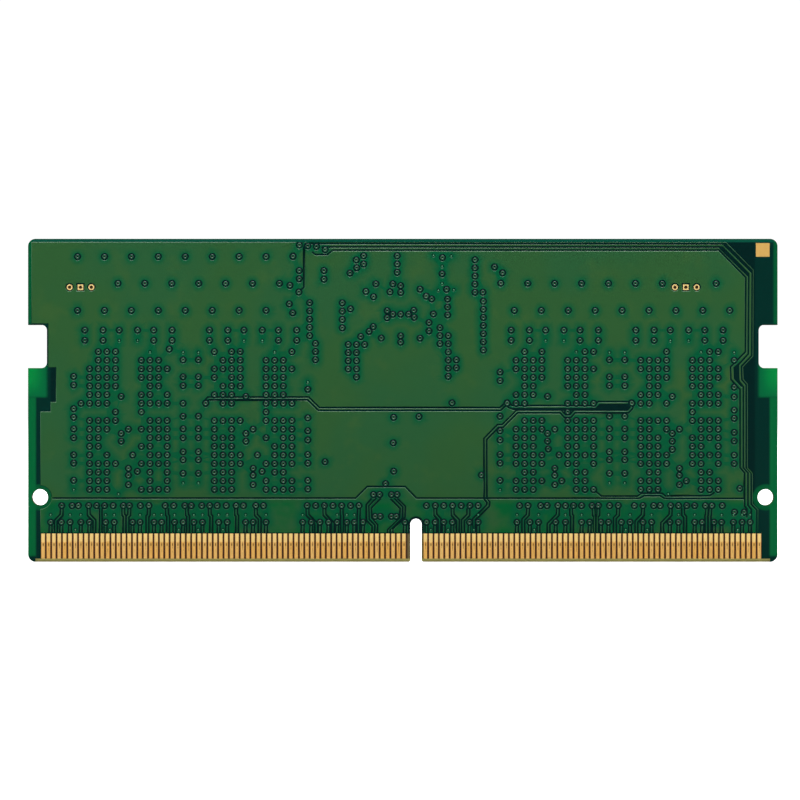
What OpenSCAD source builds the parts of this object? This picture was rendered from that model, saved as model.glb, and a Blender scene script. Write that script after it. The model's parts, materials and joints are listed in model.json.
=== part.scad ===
// Memory module for a portable computer: an eight-layer board with gold edge
// contacts on both faces, four memory packages and the power parts on one face.
// Frame: +X along the contact edge, +Z up from it, -Y out of the bare face and
// +Y out of the component face. The origin is the middle of the contact edge.

/* [Board] */
// Length of the board along its contact edge
board_w = 69.6; // [69.45:0.05:69.75]
// Height of the board
board_h = 30; // [29.9:0.05:30.1]
// Thickness of the board over its solder mask
board_t = 1.2; // [1.1:0.05:1.3]
// Radius of the board's outer corners
corner_r = 0.7; // [0.4:0.1:0.9]
// Depth of the bevel along the contact edge
bevel = 0.3; // [0.2:0.05:0.3]

/* [Layers] */
// Thickness of each copper foil
foil_t = 0.03; // [0.02:0.005:0.035]
// Thickness of each of the six bonding sheets
prepreg_t = 0.07; // [0.06:0.01:0.08]
// Thickness of the solder mask over bare laminate
film_t = 0.02; // [0.015:0.005:0.025]
// How far the mask stands higher where copper lies under it
relief_t = 0.025; // [0.02:0.005:0.03]
// Distance from the board's edge to the inner copper
foil_margin = 0.4; // [0.3:0.1:0.6]

/* [Latch and register features] */
// Depth of the latch notch in each end
notch_depth = 1.75; // [1.6:0.05:1.9]
// Height of the latch notch's lower edge
notch_z = 18; // [17.9:0.1:18.1]
// Height of the opening of the latch notch
notch_h = 4; // [3.9:0.1:4.1]
// Radius in the inner corners of the latch notch
notch_r = 0.5; // [0.3:0.1:0.7]
// Distance of each register hole from the middle of the board
hole_x = 33.7; // [33.6:0.05:33.8]
// Height of the register holes
hole_z = 6; // [5.8:0.1:6.2]
// Diameter of the register holes
hole_d = 1.5; // [1.4:0.05:1.6]
// Position of the key slot along the contact edge
key_x = 1.225; // [1.2:0.005:1.25]
// Width of the key slot
key_w = 1.05; // [1:0.01:1.1]
// Height of the key slot
key_h = 4; // [3.8:0.1:4.2]
// Radius of the corners at the mouth of the key slot
mouth_r = 0.2; // [0.1:0.05:0.25]

/* [Contacts] */
// Distance from one contact to the next
contact_pitch = 0.5; // [0.5]
// Width of a contact
contact_w = 0.34; // [0.3:0.01:0.4]
// Height of the lower end of the contacts
contact_z = 0.3; // [0.3:0.05:0.5]
// Height of the upper end of the contacts
contact_top = 2.63; // [2.5:0.01:2.7]
// Contacts on each face to the left of the key
contacts_left = 68; // [60:1:68]
// Contacts on each face to the right of the key
contacts_right = 63; // [55:1:63]

/* [Memory packages] */
// Width of a memory package
package_w = 9; // [8.5:0.1:9.2]
// Height of a memory package
package_h = 14; // [13.5:0.1:14.2]
// Height of the middle of the packages above the contact edge
package_z = 13.1; // [13:0.1:13.2]
// Distance between neighbouring solder balls and rows of vias
ball_pitch = 0.8; // [0.8]
// Diameter of a solder ball
ball_d = 0.42; // [0.35:0.01:0.45]

/* [Vias] */
// Diameter of the copper land of a tented via
land_d = 0.45; // [0.4:0.01:0.48]
// Diameter of the clearance around a tented via
antipad_d = 0.66; // [0.62:0.01:0.68]
// Width of the clearance beside a trace
gap_w = 0.14; // [0.1:0.01:0.16]

/* [Hidden] */
$fn = 24;
cut = 0.2;

// Distances from the middle plane of the board, the same on both faces
face_y = board_t / 2;
film_y = face_y - relief_t;
flush_y = film_y - film_t;
core_y = flush_y - 3 * prepreg_t;
contact_t = 0.04;
contact_y = flush_y + contact_t;
sheet_y = [core_y, core_y + prepreg_t, core_y + 2 * prepreg_t, flush_y];
back = -1;
front = 1;

// Contact rows: the first contact of each group, on each face
back_left_x = -33.4;
back_right_x = 2.1;
front_left_x = -33.15;
front_right_x = 2.35;
window_margin = 0.04;
pour_z = contact_top + 0.06;

// Test pads, two groups of three on the bare face, and the corner square
test_pad_groups = [-29.93, 26.28];
test_pad_step = 1.01;
test_pad_z = 25.5;
test_pad_d = 0.54;
test_pad_w = 0.52;
test_hole_d = 0.18;
corner_pad = [33.42, 28.97];
corner_pad_w = 1.27;
pad_clearance = 0.1;

// Memory packages, by the middle of each, and the layers in each
package_x = [-25.48, -13.9, 14.11, 25.69];
ball_columns = [-3.2, -2.4, -1.6, 1.6, 2.4, 3.2];
ball_rows = 17;
ball_h = 0.2;
substrate_t = 0.16;
die_t = 0.18;
package_t = 1.05;
ball_y = face_y + ball_h;
substrate_y = ball_y + substrate_t;
die_y = substrate_y + die_t;
cap_y = face_y + package_t;
die_w = 7.4;
die_h = 10.8;
pin_mark_d = 0.7;
pin_mark_depth = 0.03;

// Via lattice behind each package, drawn row by row from the top. Each row is
// four columns left of the middle and four right of it: o is a via, . is none
// and t is a small one.
lattice_columns = [-3.6, -2.8, -2, -1.2, 1.2, 2, 2.8, 3.6];
lattice_top = 19.5;
lattice = [
    [".ooo.t..", ".oooooo.", "oooooooo", "ooooooo.", "oooo.oo.", "ooo.oo.o",
     "ooo.oooo", "...oo...", "oooo.ooo", "ooo.oooo", "oo...ooo", "oo..oo.o",
     "o.o..ooo", "oooooooo", "ooo..o.o", "ooo..o.o", "ooo.oooo"],
    ["o.oo.t.o", ".oooooo.", "oooooooo", "o.ooooo.", ".oooooo.", "ooo.ooo.",
     ".oo.oooo", "....o...", "oooooooo", "o.o..ooo", "ooo.o.oo", "ooo..ooo",
     "oooo.ooo", "oooooooo", "ooo..oo.", "ooo.o.oo", "ooo.oooo"],
    [".o.o.too", "ooooooo.", "oooooooo", ".oooooo.", ".oo.ooo.", "ooo..oo.",
     "oo..oooo", "....o...", ".ooooooo", "oooooooo", "ooo.oooo", "ooo.oo.o",
     "oooooooo", "oooooo.o", ".oo..oo.", "oooo.oo.", "ooo..ooo"],
    ["...o.too", "ooooooo.", "oooooooo", ".ooooooo", ".oo.ooo.", "ooo..ooo",
     "oo.ooooo", "....o...", "oooooooo", "oo.o.ooo", "ooo.oooo", "ooo.oo.o",
     "oooooooo", "oooooo.o", ".oo..oo.", "ooo..ooo", "ooo..ooo"]
];

// Loose vias inside each lattice, as [x from the package's middle, row]
common_extras = [[-4.4, 6], [-0.67, 5.2], [0, 9], [-0.67, 9.5], [-0.67, 10.4],
                 [0, 13.55], [0, 14.35], [0, 15.45]];
own_extras = [
    [[0.4, 12], [0.83, 13.9], [3.8, -0.3]],
    [[0.4, 12], [0.83, 13.9]],
    [[0.4, 12], [-0.6, 11.3], [0.65, 15]],
    [[-0.67, 11.35], [0.63, 15]]
];

// Capacitor vias above each package, as x from the package's middle
inner_above_x = 0.85;
above_x = [-4.05, -2.35, -inner_above_x, inner_above_x, 2.35, 4.05];
above_z = [21.5, 20.55];

// Columns of vias that flank the packages, as [x, heights]
flank_a = [18.74, 17.16, 16.34, 13.5, 12.33, 11.5, 10.2, 9.46, 8.2];
flank_b = [16, 13.35, 12.15, 11.3, 9.94, 9.14, 7.54, 6.74];
flank_columns = [
    [-30.56, [17.2, 16.4, 14.2, 13.4, 12.33, 11.5, 9.92, 9.15, 7.55]],
    [-20.4, concat(flank_a, [14.7])],
    [-18.98, flank_a],
    [-8.82, flank_b],
    [9.03, [17.6, 16.8, 13.5, 12.15, 11.3, 9.94, 9.14, 7.54]],
    [19.19, flank_a],
    [20.61, flank_a],
    [30.77, [18.7, 16.2, 15.3, 14.07, 13.3, 12, 11.2, 9.9, 9.1]],
    [31.3, [6.8]]
];
flank_small = concat([[-30.56, 6.7], [-8.82, 16.7], [9.03, 6.7], [30.77, 19.45]],
                     [for (x = [-20.4, -18.98, 19.19, 20.61]) for (z = [19.45, 7.33]) [x, z]]);

// Stitching vias, in rows with a regular step, as [first x, count, z]
stitch_step = 2.5;
stitch_rows = [[-30.2, 9, 28.33], [-26.45, 7, 25.84], [-30.2, 8, 23.33],
               [11.6, 6, 25.84], [29.1, 1, 25.84], [10.36, 9, 23.33]];

// Vertical runs of vias in the power area, as [x, top z, count, step]
power_runs = [[-8.65, 24.04, 5, 0.765], [-8.11, 20.26, 3, 0.755],
              [-5.62, 24.03, 4, 0.775], [-5.07, 20.16, 4, 0.755],
              [-4.3, 20.16, 5, 0.755], [-0.52, 28.4, 3, 0.765],
              [6.7, 28.03, 5, 0.755], [7.48, 24.18, 7, 0.755],
              [4.16, 24.38, 3, 0.74], [3.45, 21.72, 3, 0.74],
              [4.22, 20.98, 6, 0.755], [4.97, 18.74, 2, 0.75],
              [-9.62, 27.03, 2, 0.77], [-7.32, 27.03, 2, 0.8]];
power_vias = [
    [-9.6, 29.4], [-8.82, 29.32], [-8.02, 29.26], [-7.22, 28.98], [-10.2, 28.38],
    [-10.48, 25.66], [-9.65, 25.04], [-10.54, 23.93], [-10.22, 23.1],
    [-3.64, 28.4], [-4.32, 28.02], [-3.64, 27.64], [-4.28, 27.28], [-4.9, 26.8],
    [-2.5, 25.8], [-3.43, 25.1], [-2.72, 24.6], [-0.92, 25.8], [-1.19, 25.05],
    [-4.86, 23.47], [-3.55, 20.16], [-1.45, 23.3], [-0.92, 22.98], [-1.45, 22.65],
    [-2.75, 21.82], [-3.13, 21.38], [-3.91, 20.9], [-2, 20.76],
    [3.68, 28.24], [3.65, 26.73], [-0.2, 25.62], [-0.2, 25], [1.6, 25.3],
    [2.17, 24.66], [2.68, 24.4], [4.06, 25.3], [1.02, 23.34], [0.53, 22.98],
    [1.06, 22.68], [-0.2, 22.98], [2.84, 23], [2.43, 22.2], [2.43, 21.42],
    [1.6, 20.75], [-0.2, 20.96], [-0.2, 20.38], [7.44, 25.02], [8.52, 27.36],
    [9.26, 26.82], [9.1, 25.86], [4.57, 14.75], [1.5, 13.47], [-18.3, 14.74],
    [9.68, 14.75], [21.25, 14.75], [-7.22, 9.27], [-0.85, 13.4], [-0.89, 11.03],
    [-0.85, 8.4], [-1.6, 7.24], [7.3, 8.04], [30.8, 4.6], [31.7, 4.6]
];
power_small = [[2.85, 28.45], [4.5, 28.4], [3.65, 27.44], [3.65, 25.86],
               [3.3, 25.2], [4.75, 25.25], [24.65, 6.3], [-26.4, 6.3]];

// Vias above the contacts: two rows of full size, and two rows of small ones
upper_row_z = 5.2;
upper_row = [
    -31.67, -30.71, -30.13, -29.17, -28.43, -27.69, -26.9, -25.95, -25.39,
    -24.37, -23.58, -22.07, -21.27, -20.24, -19.64, -18.67, -17.93, -17.24,
    -16.4, -15.48, -14.8, -13.65, -12.94, -8.88, -8.09, -7.28, -6.49, -5.68,
    -4.85, -4.08, 2.19, 3.02, 3.8, 4.62, 5.42, 6.23, 6.99, 10.84, 11.62, 12.8,
    13.4, 14.4, 15.1, 15.85, 16.6, 17.57, 18.16, 19.2, 20, 21.5, 22.3, 23.3,
    23.9, 24.87, 25.6, 26.36, 27.1, 28.1, 28.7, 29.66
];
lower_row_z = 3.66;
lower_row = [
    -32.7, -31.7, -30.9, -29.9, -29.1, -27.6, -26.8, -25.1, -24.4, -23.1, -22.4,
    -21.2, -20.4, -19.4, -18.6, -17.1, -16.3, -14.6, -13.9, -12.7, -9.3, -8.5,
    -7.7, -6.9, -6.1, -5.2, -4.5, -3.7, 0.2, 2.2, 3, 3.8, 4.6, 6.2, 7, 10.6,
    11.8, 12.6, 14.2, 15.1, 16.6, 17.35, 18.4, 19.1, 20.3, 21.1, 22.3, 23.1,
    24.8, 25.6, 27.1, 27.8, 28.9, 29.6, 30.7, 31.5, 32.25
];
key_vias = [[-2.72, 6.23], [-2.15, 6.23], [-1.06, 6.23], [-0.53, 6.23],
            [-2.58, 4.2], [-2.1, 4.2], [-1.06, 4.2], [-0.6, 4.2]];
small_row_z = 4.37;
edge_row_z = 2.98;
slant_z = 4.35;
least_drop = 0.01;
small_land_d = 0.2;
small_antipad_d = 0.3;
small_spacing = [0.77, 1.03];
trace_spacing = 0.4;
key_spacing = 1.2;

// Traces from the upper row of vias down to the contacts, as [top x, bottom x]
long_escapes = [
    [-31.67, -32.2], [-29.17, -28.65], [-28.05, -28.05], [-25.95, -25.85],
    [-25.39, -25.55], [-23.58, -23.7], [-21.9, -21.8], [-20.05, -19.95],
    [-17.93, -17.8], [-15.48, -15.4], [-13.65, -13.3], [-8.85, -8.05],
    [-7.28, -6.5], [-5.68, -5.65], [-4.08, -4.1], [3.02, 3.4], [4.62, 5.1],
    [6.1, 5.6], [11.62, 11.2], [14.4, 13.55], [15.62, 15.7], [17.72, 17.85],
    [18.16, 18.0], [20, 19.7], [22.3, 21.7], [24.87, 24.1], [26.02, 26.2],
    [28.25, 28.2], [28.55, 28.5]
];

// Clearances that show as fine lines in the copper of the bare face
top_lines = [
    [[-9.5, 25.2], [-9.17, 25.5], [-9.17, 29.38], [-8.98, 29.55], [29.95, 29.55],
     [32.42, 27.05], [32.42, 19.15], [31.47, 18.15], [31.47, 16.9], [31.87, 16.45],
     [31.87, 8.75], [32.33, 8.25], [32.33, 5.35], [32.85, 4.8], [32.85, pour_z]],
    [[-7.55, 29.23], [29.65, 29.23], [32.1, 26.75], [32.1, 19.3], [31.18, 18.3],
     [31.18, 16.8], [31.6, 16.25], [31.6, 8.75], [32.03, 8.25], [32.03, 5.25],
     [32.35, 4.85], [32.35, pour_z]],
    [[-8.4, 28.75], [-8.1, 28.52], [-7, 28.52], [-6.5, 28.93], [29.35, 28.93],
     [31.83, 26.4], [31.83, 19.5], [30.45, 18.1], [30.45, 16.95], [31.3, 16],
     [31.3, 8.75], [31.72, 8.25], [31.72, 5.2], [31.95, 4.9], [31.95, 4.1]]
];
edge_line = [[-32.6, 5.91], [-4.38, 5.91], [-3.3, 6.98], [0.21, 6.98], [1.26, 5.91],
             [22, 5.89], [22.4, 6.12], [23.9, 6.12], [24.3, 5.87], [31.7, 5.87]];
bypass_line = [[17.95, 6.5], [18.45, 6.09], [21.8, 6.09], [22.15, 6.36], [24.05, 6.36],
               [24.4, 6.1], [28.5, 6.12], [28.95, 6.45]];
key_lines = [
    [[-2.9, 5.9], [-3.38, 5.3], [-3.38, 3.85], [-2.87, 3.3], [-2.87, pour_z]],
    [[-2.45, 5.95], [-3.14, 5.2], [-3.14, 3.95], [-2.62, 3.4], [-2.62, pour_z]],
    [[-2.05, 5.9], [-2.9, 5], [-2.9, 4.1], [-2.36, 3.45], [-2.36, pour_z]],
    [[-0.5, 5.9], [0.22, 5.15], [0.22, 4.15], [-0.92, 3.05], [-0.92, pour_z]],
    [[-0.8, 5.9], [-0.03, 5.1], [-0.03, 4.1], [-1.16, 2.98], [-1.16, pour_z]],
    [[-1.15, 5.85], [-0.27, 4.95], [-0.27, 4.1], [-1.4, 2.98], [-1.4, pour_z]]
];

// Traces with a clearance on both sides, by their middle lines
link_trace = [[-18.3, 14.9], [-18.05, 15.16], [-8.8, 15.16], [-7.8, 14.18],
              [9.05, 14.18], [9.55, 14.65]];
drop_trace = [[21.28, 14.55], [21.22, 14.27], [20.92, 13.95], [15.95, 13.95],
              [15.55, 13.52], [15.05, 13.52], [14.65, 13.95], [10.62, 13.95],
              [9.27, 12.6], [8.85, 12.6],
              [7.68, 11.4], [7.68, 5.85], [7.92, 5.55], [7.92, 5.2], [6.62, 3.95],
              [6.62, pour_z]];
trace_half = 0.13;

// Clearance above the trace that runs along the wide bare bar
bar_line = [[9.95, 14.72], [10.17, 14.5], [17.8, 14.5], [18.15, 14.87], [20.95, 14.87]];

// Bare areas inside the copper of the bare face
bare_areas = [
    [[9.75, 14.43], [10.1, 14.28], [17.9, 14.28], [18.26, 14.65], [21, 14.65],
     [21.1, 14.45], [20.86, 14.01], [10.6, 14.01], [10.2, 14.1], [9.7, 14.3]],
    [[29.72, 29.45], [29.95, 29.55], [32.42, 27.05], [32.4, 26.7], [32.36, 26.81]],
    [[29.38, 29.12], [29.65, 29.23], [32.1, 26.75], [32.1, 26.4], [32.05, 26.45]],
    [[32, 19.15], [31.24, 18.28], [31.24, 16.85], [31.55, 16.42], [31.45, 16.2],
     [30.72, 17], [30.72, 18.05]]
];

// Edge of the copper on the bare face, clockwise from its lower left corner
pour_edge = [
    [-33.65, pour_z], [-33.65, 13.95], [-32.7, 13.95], [-32.7, 14.85], [-32.2, 14.85],
    [-32.2, 18.05], [-32.93, 18.05], [-32.93, 22.12], [-34.48, 22.12], [-34.48, 29.7],
    [30.02, 29.68], [32.56, 27.1], [32.56, 19.08], [31.62, 18.08], [31.62, 16.96],
    [32.02, 16.52], [32.02, 8.7], [32.48, 8.2], [32.48, 5.41], [33, 4.87],
    [33, pour_z]
];
hole_clearance = 0.35;
key_clearance = 0.2;

// Component face: capacitors, resistors and the power parts
chip_0402 = [1, 0.5, 0.5];
chip_0603 = [1.6, 0.8, 0.8];
end_share = 0.24;
solder_t = 0.02;
fillet_w = 0.16;
fillet_h = 0.32;
flank_x = 5.08;
flank_z = [17.4, 15.4, 13.4, 11.4, 9.4, 7.4];
above_cap_z = 21.1;
upright = 90;
level = 0;
small_caps = concat(
    [for (x = package_x) for (side = [-1, 1]) for (z = flank_z)
        [x + side * flank_x, z, upright]],
    [for (x = package_x) for (dx = above_x) [x + dx, above_cap_z, upright]]);
bulk_caps = [[-10, 27.6, upright], [-10, 25.2, upright], [-4.1, 26.6, level],
             [-4.1, 25.2, level], [-4.1, 23.2, upright], [-2.9, 21.1, level],
             [0.2, 20.6, level], [3.3, 21.1, level], [2.7, 23.4, upright],
             [2.7, 26.4, upright], [8.2, 22.4, upright], [8.6, 19.6, upright],
             [-8.9, 22.2, upright], [-8.9, 19.6, upright]];
resistors = [[-1.9, 28.3, level], [0.2, 28.3, level], [2.3, 28.3, level],
             [10.6, 28.4, level], [12.4, 28.4, level], [14.2, 26.3, upright],
             [-20.6, 22.6, level], [-7.6, 17.6, upright], [7.8, 17.6, upright],
             [19.9, 22.6, level]];
resistor_t = 0.35;
power_chip = [-0.2, 24.3];
power_chip_size = [3, 0.75, 4];
power_lead = [0.22, 0.2, 0.4];
power_lead_pitch = 0.4;
power_leads = [6, 8];
power_slug = [1.6, 2.6];
power_die_size = [1.5, 0.2, 2.4];
hub_chip = [12.2, 26.2];
hub_size = [2, 0.7, 3];
hub_leads = 5;
hub_lead_pitch = 0.5;
hub_lead = [0.24, 0.2, 0.35];
chip_lift = 0.03;
power_die_y = face_y + chip_lift + power_lead[1];
coil_parts = [[-7.1, 22.6], [-7.1, 26.2], [5.8, 22.4]];
coil_size = [2.5, 1, 2];
coil_r = 0.75;
coil_bore_r = 0.4;
coil_end = 0.45;
coil_end_t = 0.2;
coil_end_h = 1.6;
coil_h = 0.5;

// ---- Geometry helpers ----

function unit(v) = v / norm(v);
function left_of(v) = [-v[1], v[0]];

// A point of a line, moved sideways by d so that the moved line stays parallel
function beside(line, i, d) =
    let (before = unit(line[max(i, 1)] - line[max(i, 1) - 1]),
         last = len(line) - 1,
         after = unit(line[min(i, last - 1) + 1] - line[min(i, last - 1)]),
         across = unit(left_of(before) + left_of(after)))
    line[i] + across * d / (across * left_of(before));

function offset_line(line, d) = [for (i = [0 : len(line) - 1]) beside(line, i, d)];

// A line of the given width, in the plane of the board
module stripe(line, width) {
    far = offset_line(line, -width / 2);
    polygon(concat(offset_line(line, width / 2), [for (i = [len(far) - 1 : -1 : 0]) far[i]]));
}

// A flat shape in the plane of the board, between two distances from its middle
module slab(side, inner, outer) {
    translate([0, side == front ? outer : -inner, 0]) rotate([90, 0, 0])
        linear_extrude(outer - inner) children();
}

// A block on the component face, by the middle of its footprint
module block(at, size, y) {
    translate([at[0] - size[0] / 2, y, at[1] - size[2] / 2]) cube(size);
}

module rounded_box(w, h, r) {
    translate([r, 0]) square([w - 2 * r, h]);
    translate([0, r]) square([w, h - 2 * r]);
    for (x = [r, w - r]) for (y = [r, h - r]) translate([x, y]) circle(r);
}

// ---- Outlines in the plane of the board ----

module latch_notch(grow) {
    width = notch_depth + corner_r + grow;
    translate([board_w / 2 - notch_depth - grow, notch_z - grow])
        rounded_box(width + cut, notch_h + 2 * grow, notch_r + grow);
}

module key_slot(grow) {
    r = key_w / 2 + grow;
    translate([key_x - r, -cut]) square([2 * r, key_h - key_w / 2 + cut]);
    translate([key_x, key_h - key_w / 2]) circle(r);
}

// Material removed where the key slot's sides round into the contact edge
module key_mouth() {
    half = key_w / 2 + mouth_r;
    difference() {
        translate([key_x - half, -cut]) square([2 * half, mouth_r + cut]);
        for (side = [-1, 1]) translate([key_x + side * half, mouth_r]) circle(mouth_r);
    }
}

module outline(inset) {
    difference() {
        translate([inset - board_w / 2, inset])
            rounded_box(board_w - 2 * inset, board_h - 2 * inset, corner_r);
        latch_notch(inset);
        mirror([1, 0]) latch_notch(inset);
        for (side = [-1, 1]) translate([side * hole_x, hole_z]) circle(hole_d / 2 + inset);
        key_slot(inset);
        key_mouth();
    }
}

module contact_row(left_x, right_x) {
    size = [contact_w, contact_top - contact_z];
    for (i = [0 : contacts_left - 1])
        translate([left_x + i * contact_pitch - contact_w / 2, contact_z]) square(size);
    for (i = [0 : contacts_right - 1])
        translate([right_x + i * contact_pitch - contact_w / 2, contact_z]) square(size);
}

// The window in the solder mask over the contacts
module contact_window(left_x, right_x) {
    last_x = right_x + (contacts_right - 1) * contact_pitch;
    margin = contact_w / 2 + window_margin;
    translate([left_x - margin, -cut])
        square([last_x - left_x + 2 * margin, contact_top + cut]);
    translate([corner_r - board_w / 2, -cut]) square([board_w - 2 * corner_r, bevel + cut]);
}

module test_pad_shapes(grow) {
    for (x = test_pad_groups) {
        for (side = [-1, 1])
            translate([x + side * test_pad_step, test_pad_z]) circle(test_pad_d / 2 + grow);
        translate([x, test_pad_z]) square(test_pad_w + 2 * grow, center = true);
    }
}

module corner_pad_shape(grow) {
    translate(corner_pad) square(corner_pad_w + 2 * grow, center = true);
}

// ---- Via positions ----

function row_z(row) = lattice_top - row * ball_pitch;

function lattice_vias(mark) = [
    for (p = [0 : len(package_x) - 1]) for (row = [0 : ball_rows - 1])
        for (column = [0 : len(lattice_columns) - 1])
            if (lattice[p][row][column] == mark)
                [package_x[p] + lattice_columns[column], row_z(row)]];

extra_vias = [for (p = [0 : len(package_x) - 1]) for (v = concat(common_extras, own_extras[p]))
    [package_x[p] + v[0], row_z(v[1])]];
above_vias = [for (x = package_x) for (dx = above_x) for (z = above_z)
    if (z == above_z[0] || abs(dx) > inner_above_x) [x + dx, z]];
above_small = [for (x = package_x) for (side = [-1, 1]) [x + side * inner_above_x, above_z[1]]];
flank_vias = [for (column = flank_columns) for (z = column[1]) [column[0], z]];
stitch_vias = [for (row = stitch_rows) for (i = [0 : row[1] - 1])
    [row[0] + i * stitch_step, row[2]]];
run_vias = [for (run = power_runs) for (i = [0 : run[2] - 1])
    [run[0], run[1] - i * run[3]]];
edge_vias = concat([for (x = upper_row) [x, upper_row_z]],
                   [for (x = lower_row) [x, lower_row_z]]);

// Small vias stand over the lower row and between its vias, clear of the traces
function clear_of_traces(x) =
    min([for (e = long_escapes) min(abs(x - e[0]), abs(x - e[1]))]) > trace_spacing;
edge_small = concat(
    [for (x = lower_row) if (clear_of_traces(x) && abs(x - key_x) > key_spacing)
        [x, small_row_z]],
    [for (i = [1 : len(lower_row) - 1])
        let (x = (lower_row[i - 1] + lower_row[i]) / 2, gap = lower_row[i] - lower_row[i - 1])
        if (gap > small_spacing[0] && gap < small_spacing[1] && clear_of_traces(x))
            [x, edge_row_z]]);

back_vias = concat(lattice_vias("o"), extra_vias, above_vias, flank_vias, stitch_vias,
                   run_vias, power_vias, edge_vias, key_vias);
back_small = concat(lattice_vias("t"), above_small, flank_small, power_small, edge_small);
front_vias = concat(stitch_vias, edge_vias);

module discs(places, d) {
    for (p = places) translate(p) circle(d / 2);
}

// ---- Clearances in the outer copper ----

module escape_gaps() {
    for (e = long_escapes) {
        slant_end = slant_z - abs(e[0] - e[1]) - least_drop;
        line = [[e[0], upper_row_z - land_d / 2], [e[0], slant_z], [e[1], slant_end],
                [e[1], pour_z - cut]];
        for (side = [-1, 1]) stripe(offset_line(line, side * trace_half), gap_w);
    }
    for (x = lower_row) for (side = [-1, 1])
        translate([x + side * trace_half - gap_w / 2, pour_z - cut])
            square([gap_w, lower_row_z - pour_z + cut - land_d / 2]);
}

module back_gaps() {
    for (line = concat(top_lines, key_lines, [edge_line, bypass_line, bar_line]))
        stripe(line, gap_w);
    for (line = [link_trace, drop_trace]) for (side = [-1, 1])
        stripe(offset_line(line, side * trace_half), gap_w);
    for (area = bare_areas) polygon(area);
    escape_gaps();
    test_pad_shapes(pad_clearance);
    for (side = [-1, 1]) translate([side * hole_x, hole_z]) circle(hole_d / 2 + hole_clearance);
    key_slot(key_clearance);
}

// The copper of the bare face with its main clearances, without the via clearances
module back_pour() {
    difference() {
        polygon(pour_edge);
        for (line = top_lines) stripe(line, gap_w);
        stripe(edge_line, gap_w);
        for (area = bare_areas) polygon(area);
        for (side = [-1, 1]) translate([side * hole_x, hole_z]) circle(hole_d / 2 + hole_clearance);
        key_slot(key_clearance);
    }
}

module front_pour() {
    difference() {
        outline(foil_margin);
        translate([-board_w, -cut]) square([2 * board_w, pour_z + cut]);
    }
}

// Inner foils: whole for ground, split for the supplies, and side banks for signals
module inner_foil(splits) {
    difference() {
        outline(foil_margin);
        for (x = splits) translate([x, -cut]) square([foil_margin, board_h + 2 * cut]);
    }
}

supply_splits = [-11.2, 10.8];
signal_splits = [-19.9, -3.6, 4.1, 19.7];

// ---- Board ----

// Any sheet of laminate, with the bevel cut along its straight lower edge
module laminate() {
    color("darkkhaki") difference() {
        children();
        for (side = [back, front])
            rotate([90, 0, 90]) linear_extrude(board_w - 2 * corner_r, center = true)
                polygon([[side * (flush_y - bevel), 0], [side * flush_y, bevel],
                         [side * (flush_y + cut), bevel], [side * (flush_y + cut), -cut],
                         [side * (flush_y - bevel), -cut]]);
    }
}

module prepreg(side, layer) {
    laminate() difference() {
        slab(side, sheet_y[layer - 1], sheet_y[layer]) outline(0);
        slab(side, sheet_y[layer] - foil_t, sheet_y[layer] + cut) children();
    }
}

module foil(side, layer) {
    color("peru") slab(side, sheet_y[layer] - foil_t, sheet_y[layer]) children();
}

module laminate_core() {
    laminate() difference() {
        slab(front, -core_y, core_y) outline(0);
        for (side = [back, front])
            slab(side, core_y - foil_t, core_y + cut) inner_foil(supply_splits);
    }
}

module prepreg_inner_back() prepreg(back, 1) inner_foil(signal_splits);
module prepreg_middle_back() prepreg(back, 2) inner_foil([]);
module prepreg_outer_back() prepreg(back, 3) back_pour();
module prepreg_inner_front() prepreg(front, 1) inner_foil(signal_splits);
module prepreg_middle_front() prepreg(front, 2) inner_foil([]);
module prepreg_outer_front() prepreg(front, 3) front_pour();

module power_plane_back() foil(back, 0) inner_foil(supply_splits);
module signal_plane_back() foil(back, 1) inner_foil(signal_splits);
module ground_plane_back() foil(back, 2) inner_foil([]);
module back_copper() foil(back, 3) back_pour();
module power_plane_front() foil(front, 0) inner_foil(supply_splits);
module signal_plane_front() foil(front, 1) inner_foil(signal_splits);
module ground_plane_front() foil(front, 2) inner_foil([]);
module front_copper() foil(front, 3) front_pour();

module solder_mask_back() {
    color("darkgreen") {
        slab(back, flush_y, film_y) difference() {
            outline(0);
            contact_window(back_left_x, back_right_x);
            test_pad_shapes(0);
            corner_pad_shape(0);
        }
        slab(back, film_y, face_y) difference() {
            polygon(pour_edge);
            back_gaps();
            discs(back_vias, antipad_d);
            discs(back_small, small_antipad_d);
        }
    }
}

module solder_mask_front() {
    color("darkgreen") {
        slab(front, flush_y, film_y) difference() {
            outline(0);
            contact_window(front_left_x, front_right_x);
        }
        slab(front, film_y, face_y) difference() {
            front_pour();
            escape_gaps();
            discs(front_vias, antipad_d);
        }
    }
}

module back_tented_vias()
    color("seagreen") slab(back, film_y, face_y) discs(back_vias, land_d);
module back_small_vias()
    color("seagreen") slab(back, film_y, face_y) discs(back_small, small_land_d);
module front_tented_vias()
    color("seagreen") slab(front, film_y, face_y) discs(front_vias, land_d);

module back_contacts()
    color("gold") slab(back, flush_y, contact_y) contact_row(back_left_x, back_right_x);
module front_contacts()
    color("gold") slab(front, flush_y, contact_y) contact_row(front_left_x, front_right_x);

module back_test_pads() {
    color("gold") slab(back, flush_y, film_y) difference() {
        test_pad_shapes(0);
        for (x = test_pad_groups) for (i = [-1 : 1])
            translate([x + i * test_pad_step, test_pad_z]) circle(test_hole_d / 2);
    }
}

module corner_pad() color("gold") slab(back, flush_y, film_y) corner_pad_shape(0);

// ---- Memory packages ----

module memory_cap(i) {
    at = [package_x[i], package_z];
    color("dimgray") difference() {
        block(at, [package_w, cap_y - substrate_y, package_h], substrate_y);
        block(at, [die_w, die_y - substrate_y + cut, die_h], substrate_y - cut);
        translate([at[0] + package_w / 2 - pin_mark_d, cap_y - pin_mark_depth,
                   at[1] + package_h / 2 - pin_mark_d])
            rotate([-90, 0, 0]) cylinder(h = cut, d = pin_mark_d);
    }
}

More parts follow.
